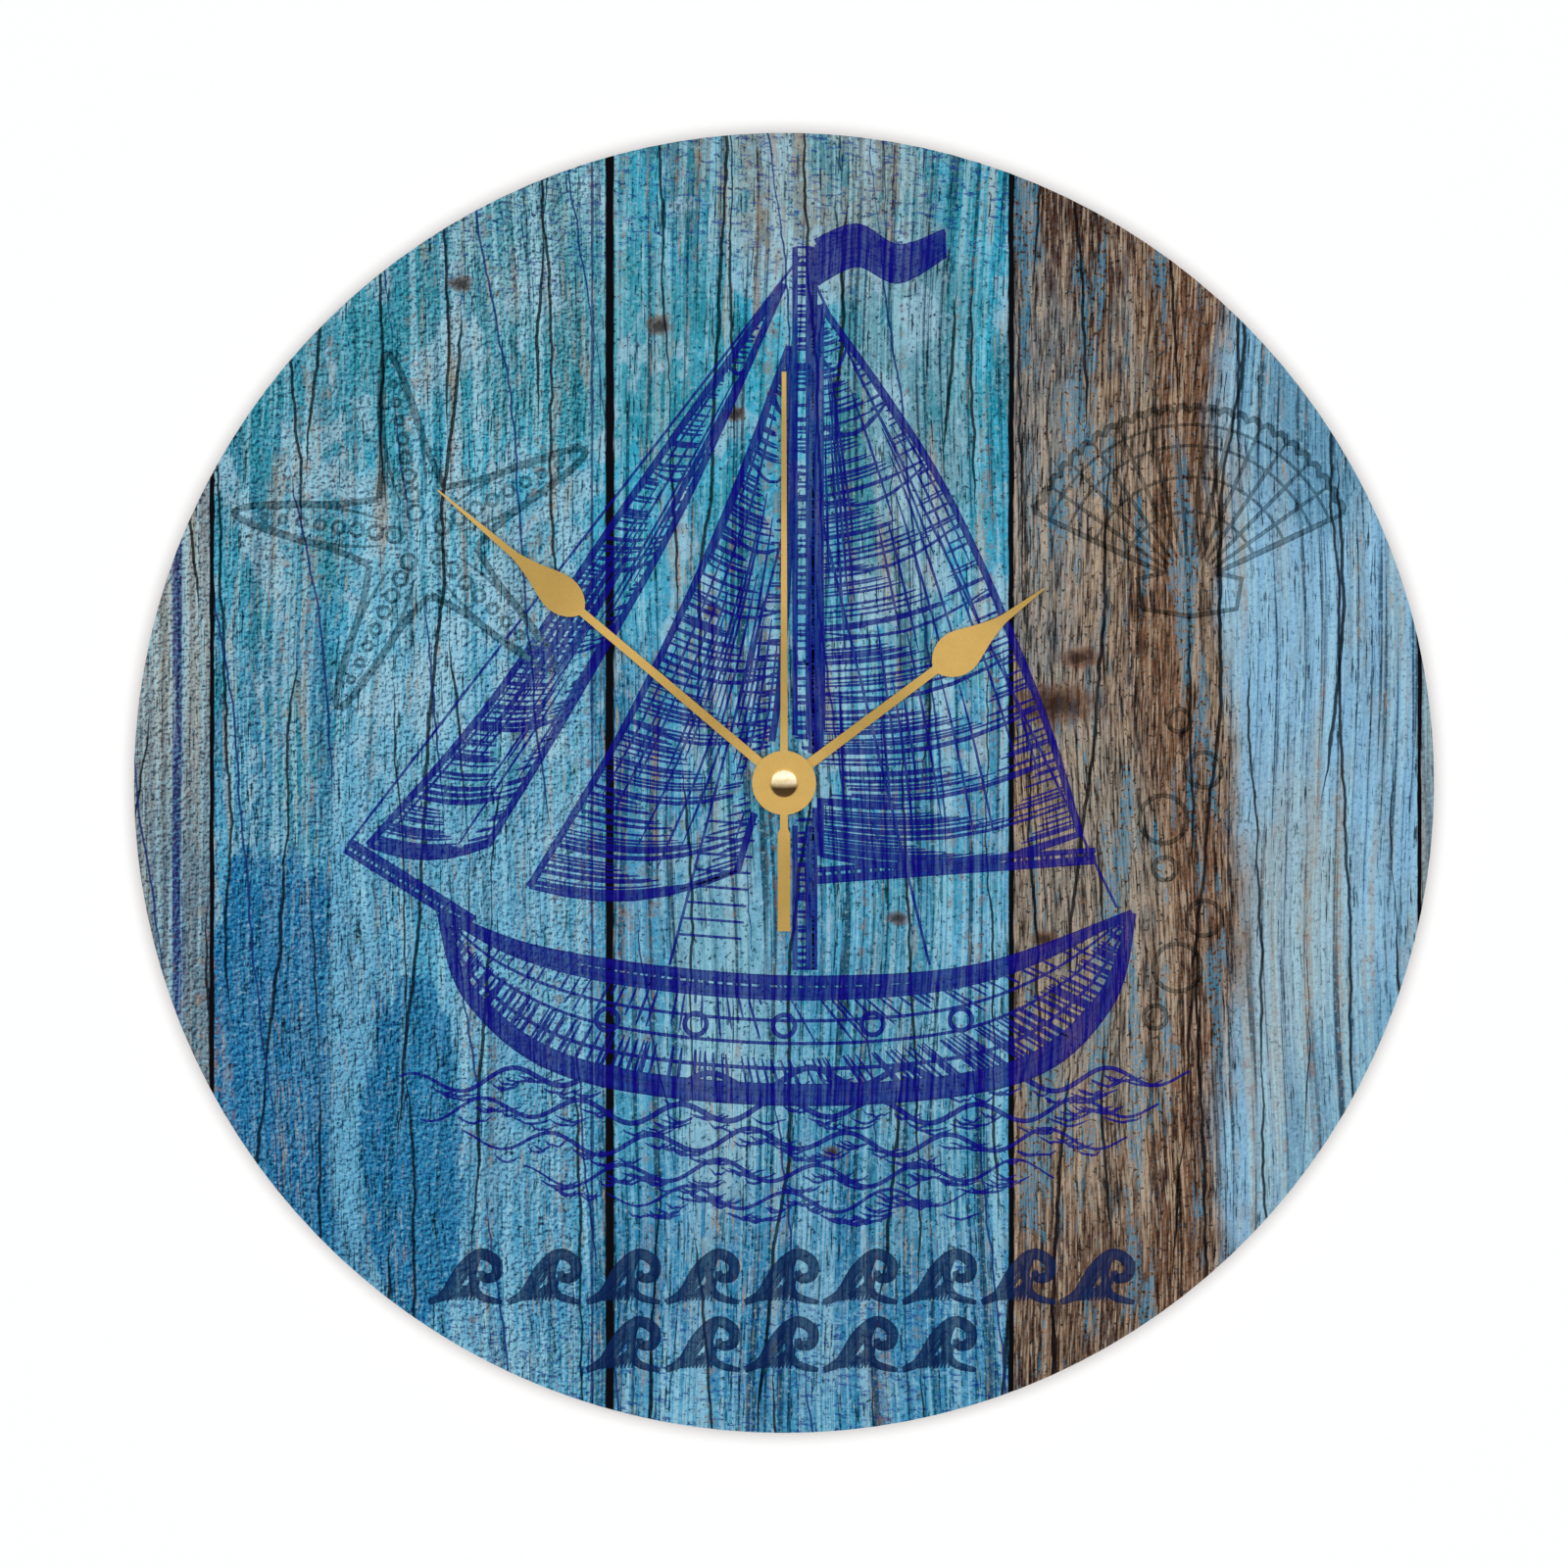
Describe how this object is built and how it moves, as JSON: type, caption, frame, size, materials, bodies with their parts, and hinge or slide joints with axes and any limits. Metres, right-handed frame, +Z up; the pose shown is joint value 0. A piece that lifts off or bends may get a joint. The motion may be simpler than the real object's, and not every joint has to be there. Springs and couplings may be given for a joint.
{
  "type": "wall clock",
  "caption": "Round frameless wall clock with a printed board dial, three spade and stick hands, and a square battery movement with a keyhole hanger.",
  "frame": {"origin": "centre of the hanging hole in the hanger plate, at the wall plane", "axes": "+Y into the wall along the hanging hole, +Z up, the dial faces -Y"},
  "size_m": [0.25, 0.0311, 0.25],
  "materials": {
    "fibreboard": "pale brown fibreboard, sanded back and cut edge",
    "printed_face": "printed weathered boards in teal, sky blue, grey and brown with a navy line drawing, satin",
    "black_rubber": "matt black rubber",
    "brass": "turned brass",
    "zinc_steel": "zinc plated steel",
    "black_plastic": "fine textured black moulded plastic",
    "white_plastic": "off white moulded plastic",
    "soft_iron": "stamped soft iron",
    "copper_wire": "enamelled copper winding",
    "circuit_laminate": "green laminate",
    "black_resin": "glossy black resin drop",
    "nickel_contact": "nickel plated spring strip",
    "magnet": "dark sintered magnet",
    "gear_plastic": "natural moulded gear plastic",
    "knob_plastic": "black moulded plastic with knurled rim",
    "satin_gold": "satin gold stamped sheet",
    "polished_brass": "polished brass dome",
    "cell_sleeve": "plain dark sleeve with a copper coloured band"
  },
  "bodies": {
    "root": {"dial_board": "fibreboard", "dial_print": "printed_face", "rubber_washer": "black_rubber", "brass_washer": "brass", "hex_nut": "brass", "shaft_bush": "brass", "hanger_plate": "zinc_steel", "case_front": "black_plastic", "case_back": "black_plastic", "middle_plate": "white_plastic", "stator": "soft_iron", "coil_core": "soft_iron", "coil_bobbin": "white_plastic", "coil_winding": "copper_wire", "circuit_board": "circuit_laminate", "quartz_crystal": "zinc_steel", "circuit_chip": "black_resin", "positive_contact": "nickel_contact", "negative_contact": "nickel_contact"},
    "seconds": {"second_wheel": "gear_plastic", "second_hand": "satin_gold", "second_tube": "brass", "second_cap": "polished_brass"},
    "third": {"third_wheel": "gear_plastic"},
    "centre": {"centre_wheel": "gear_plastic"},
    "intermediate": {"intermediate_wheel": "gear_plastic"},
    "rotor": {"rotor_pinion": "gear_plastic", "rotor_magnet": "magnet"},
    "minutes": {"minute_pipe": "brass", "clutch_spring": "brass", "minute_hand": "satin_gold"},
    "minute_work": {"minute_wheel": "gear_plastic"},
    "hours": {"hour_wheel": "brass", "hour_hand": "satin_gold"},
    "setting": {"setting_wheel": "gear_plastic", "setting_knob": "knob_plastic"},
    "battery": {"battery_can": "cell_sleeve", "battery_cap": "nickel_contact"}
  },
  "joints": [
    {"name": "seconds_spin", "type": "hinge", "parent": "root", "child": "seconds", "pos_m": [0, -0.0105, -0.042], "axis": [0, 1, 0], "continuous": true},
    {"name": "third_spin", "type": "hinge", "parent": "root", "child": "third", "pos_m": [0.0085, -0.0105, -0.042], "axis": [0, 1, 0], "continuous": true},
    {"name": "centre_spin", "type": "hinge", "parent": "root", "child": "centre", "pos_m": [0, -0.0105, -0.042], "axis": [0, 1, 0], "continuous": true},
    {"name": "intermediate_spin", "type": "hinge", "parent": "root", "child": "intermediate", "pos_m": [-0.00546, -0.0105, -0.03885], "axis": [0, 1, 0], "continuous": true},
    {"name": "rotor_spin", "type": "hinge", "parent": "root", "child": "rotor", "pos_m": [-0.00816, -0.0105, -0.03417], "axis": [0, 1, 0], "continuous": true},
    {"name": "minutes_spin", "type": "hinge", "parent": "root", "child": "minutes", "pos_m": [0, -0.0105, -0.042], "axis": [0, 1, 0], "continuous": true},
    {"name": "minute_work_spin", "type": "hinge", "parent": "root", "child": "minute_work", "pos_m": [0, -0.0105, -0.0335], "axis": [0, 1, 0], "continuous": true},
    {"name": "hours_spin", "type": "hinge", "parent": "root", "child": "hours", "pos_m": [0, -0.0105, -0.042], "axis": [0, 1, 0], "continuous": true},
    {"name": "setting_spin", "type": "hinge", "parent": "root", "child": "setting", "pos_m": [0.00808, -0.0105, -0.03087], "axis": [0, 1, 0], "continuous": true},
    {"name": "battery_lift", "type": "slide", "parent": "root", "child": "battery", "axis": [0, 1, 0], "range_m": [0, 0.02]}
  ],
  "couplings": [
    {"joint": "third_spin", "follows": "seconds_spin", "ratio": -0.13333},
    {"joint": "centre_spin", "follows": "seconds_spin", "ratio": 0.016667},
    {"joint": "intermediate_spin", "follows": "seconds_spin", "ratio": -6},
    {"joint": "rotor_spin", "follows": "seconds_spin", "ratio": 30},
    {"joint": "minute_work_spin", "follows": "minutes_spin", "ratio": -0.33333},
    {"joint": "hours_spin", "follows": "minutes_spin", "ratio": 0.083333},
    {"joint": "setting_spin", "follows": "minutes_spin", "ratio": 1}
  ]
}
